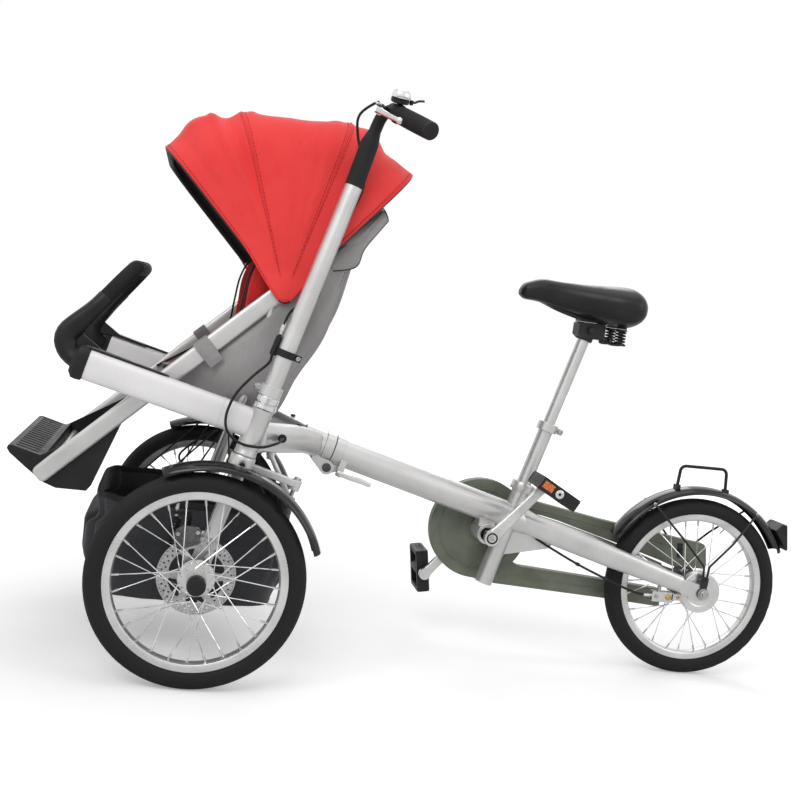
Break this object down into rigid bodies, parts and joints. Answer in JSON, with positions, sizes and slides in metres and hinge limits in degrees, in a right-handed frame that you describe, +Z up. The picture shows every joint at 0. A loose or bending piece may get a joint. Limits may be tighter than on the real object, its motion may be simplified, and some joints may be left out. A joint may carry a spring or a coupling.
{
  "type": "stroller bike",
  "caption": "Three-wheeled bicycle that doubles as a child stroller, with a hooded front seat between two steered wheels, twin handlebar posts and a folding chain-driven rear.",
  "frame": {"origin": "middle of the overall length and width, on the ground", "axes": "+Z up, -X towards the child seat and the direction of travel, -Y the rider's left side"},
  "size_m": [1.62, 0.7884, 1.0891],
  "materials": {
    "silver": "satin",
    "alloy": "satin",
    "steel": "satin",
    "black": "satin",
    "gloss_black": "gloss",
    "rubber": "matte",
    "red": "matte",
    "grey": "matte",
    "dark_grey": "matte",
    "olive": "satin",
    "lens": "gloss"
  },
  "bodies": {
    "root": {"front_frame": "silver", "seat_frame": "silver", "fold_pin": "steel", "seat_shell": "grey", "seat_liner": "red", "footrest": "black", "bumper_bar": "rubber", "storage_bag": "dark_grey"},
    "left_steer": {"fork_left": "silver", "handlebar_post_left": "silver", "grip_left": "rubber", "brake_bracket_left": "black", "brake_cable_left": "black", "front_fender_left": "gloss_black", "caliper_left": "alloy", "bell": "alloy"},
    "left_lever": {"brake_lever_left": "alloy"},
    "left_wheel": {"front_tyre_left": "rubber", "front_rim_left": "alloy", "front_hub_left": "alloy", "brake_disc_left": "steel"},
    "right_steer": {"fork_right": "silver", "handlebar_post_right": "silver", "grip_right": "rubber", "brake_bracket_right": "black", "brake_cable_right": "black", "front_fender_right": "gloss_black", "caliper_right": "alloy"},
    "right_lever": {"brake_lever_right": "alloy"},
    "right_wheel": {"front_tyre_right": "rubber", "front_rim_right": "alloy", "front_hub_right": "alloy", "brake_disc_right": "steel"},
    "tie_rod": {"tie_rod": "steel"},
    "bell_lever": {"bell_lever": "black"},
    "canopy_front": {"canopy_bow_front": "steel", "canopy_panel_front": "red"},
    "canopy_second": {"canopy_bow_second": "steel", "canopy_panel_second": "red"},
    "canopy_third": {"canopy_bow_third": "steel", "canopy_panel_third": "red"},
    "rear": {"rear_frame": "silver", "chain_case": "olive", "chain": "steel", "rear_axle": "steel", "rear_fender": "gloss_black", "reflector": "lens", "band_brake": "alloy", "rear_cable": "black"},
    "latch": {"fold_latch": "alloy"},
    "rear_wheel": {"rear_tyre": "rubber", "rear_rim": "alloy", "rear_hub": "alloy"},
    "crank": {"crank_right": "alloy", "crank_left": "alloy"},
    "left_pedal": {"pedal_left": "black"},
    "right_pedal": {"pedal_right": "black"},
    "seat_mid": {"seat_post_mid": "alloy"},
    "seat_top": {"seat_post_top": "alloy", "saddle": "black"}
  },
  "joints": [
    {"name": "left_steering", "type": "hinge", "parent": "root", "child": "left_steer", "pos_m": [-0.39865, -0.265, 0.4135], "axis": [0.2588, 0, 0.9659], "range_deg": [-25, 25], "deforming": ["brake_cable_left"]},
    {"name": "right_steering", "type": "hinge", "parent": "root", "child": "right_steer", "pos_m": [-0.39865, 0.265, 0.4135], "axis": [0.2588, 0, 0.9659], "range_deg": [-25, 25], "deforming": ["brake_cable_right"]},
    {"name": "tie_rod_swing", "type": "hinge", "parent": "left_steer", "child": "tie_rod", "pos_m": [-0.30914, -0.265, 0.34185], "axis": [0.2588, 0, 0.9659], "range_deg": [-25, 25]},
    {"name": "left_wheel_spin", "type": "hinge", "parent": "left_steer", "child": "left_wheel", "pos_m": [-0.458, -0.32, 0.192], "axis": [0, 1, 0], "continuous": true},
    {"name": "right_wheel_spin", "type": "hinge", "parent": "right_steer", "child": "right_wheel", "pos_m": [-0.458, 0.32, 0.192], "axis": [0, 1, 0], "continuous": true},
    {"name": "left_brake_pull", "type": "hinge", "parent": "left_steer", "child": "left_lever", "pos_m": [-0.24021, -0.2884, 1.04418], "axis": [0.1004, -0.2878, 0.9524], "range_deg": [0, 12], "stiffness_Nm_per_rad": 0.6, "springref_deg": -8.59},
    {"name": "right_brake_pull", "type": "hinge", "parent": "right_steer", "child": "right_lever", "pos_m": [-0.24021, 0.2884, 1.04418], "axis": [-0.1004, -0.2878, -0.9524], "range_deg": [0, 12], "stiffness_Nm_per_rad": 0.6, "springref_deg": -8.59},
    {"name": "bell_push", "type": "hinge", "parent": "left_steer", "child": "bell_lever", "pos_m": [-0.18742, -0.28861, 1.06378], "axis": [0.0641, -0.3029, 0.9509], "range_deg": [0, 15], "stiffness_Nm_per_rad": 0.05, "springref_deg": -17.19},
    {"name": "fold", "type": "hinge", "parent": "root", "child": "rear", "pos_m": [-0.218, 0, 0.369], "axis": [0, 1, 0], "range_deg": [0, 135], "deforming": ["storage_bag"]},
    {"name": "fold_latch_swing", "type": "hinge", "parent": "rear", "child": "latch", "pos_m": [-0.1914, -0.0235, 0.36003], "axis": [0, 1, 0], "range_deg": [0, 75]},
    {"name": "rear_wheel_spin", "type": "hinge", "parent": "rear", "child": "rear_wheel", "pos_m": [0.605, 0, 0.192], "axis": [0, 1, 0], "continuous": true},
    {"name": "crank_turn", "type": "hinge", "parent": "rear", "child": "crank", "pos_m": [0.13, 0, 0.268], "axis": [0, 1, 0], "continuous": true},
    {"name": "left_pedal_spin", "type": "hinge", "parent": "crank", "child": "left_pedal", "pos_m": [0.22711, -0.126, 0.38623], "axis": [0, 1, 0], "continuous": true},
    {"name": "right_pedal_spin", "type": "hinge", "parent": "crank", "child": "right_pedal", "pos_m": [0.03289, 0.126, 0.14977], "axis": [0, 1, 0], "continuous": true},
    {"name": "seat_post_mid_slide", "type": "slide", "parent": "rear", "child": "seat_mid", "axis": [0.2588, 0, 0.9659], "range_m": [-0.08, 0.04]},
    {"name": "seat_post_top_slide", "type": "slide", "parent": "seat_mid", "child": "seat_top", "axis": [0.2588, 0, 0.9659], "range_m": [-0.1, 0.04]},
    {"name": "canopy_fold", "type": "hinge", "parent": "root", "child": "canopy_third", "pos_m": [-0.361, 0, 0.702], "axis": [0, 1, 0], "range_deg": [0, 17], "deforming": ["canopy_panel_third"]},
    {"name": "canopy_fold_second", "type": "hinge", "parent": "canopy_third", "child": "canopy_second", "pos_m": [-0.361, 0, 0.702], "axis": [0, 1, 0], "range_deg": [0, 26.5], "deforming": ["canopy_panel_second"]},
    {"name": "canopy_fold_front", "type": "hinge", "parent": "canopy_second", "child": "canopy_front", "pos_m": [-0.361, 0, 0.702], "axis": [0, 1, 0], "range_deg": [0, 17.5], "deforming": ["canopy_panel_front"]}
  ],
  "couplings": [
    {"joint": "right_steering", "follows": "left_steering", "ratio": 1},
    {"joint": "tie_rod_swing", "follows": "left_steering", "ratio": -1},
    {"joint": "crank_turn", "follows": "rear_wheel_spin", "ratio": 0.44172},
    {"joint": "canopy_fold_second", "follows": "canopy_fold", "ratio": 1.5588},
    {"joint": "canopy_fold_front", "follows": "canopy_fold", "ratio": 1.0294}
  ]
}
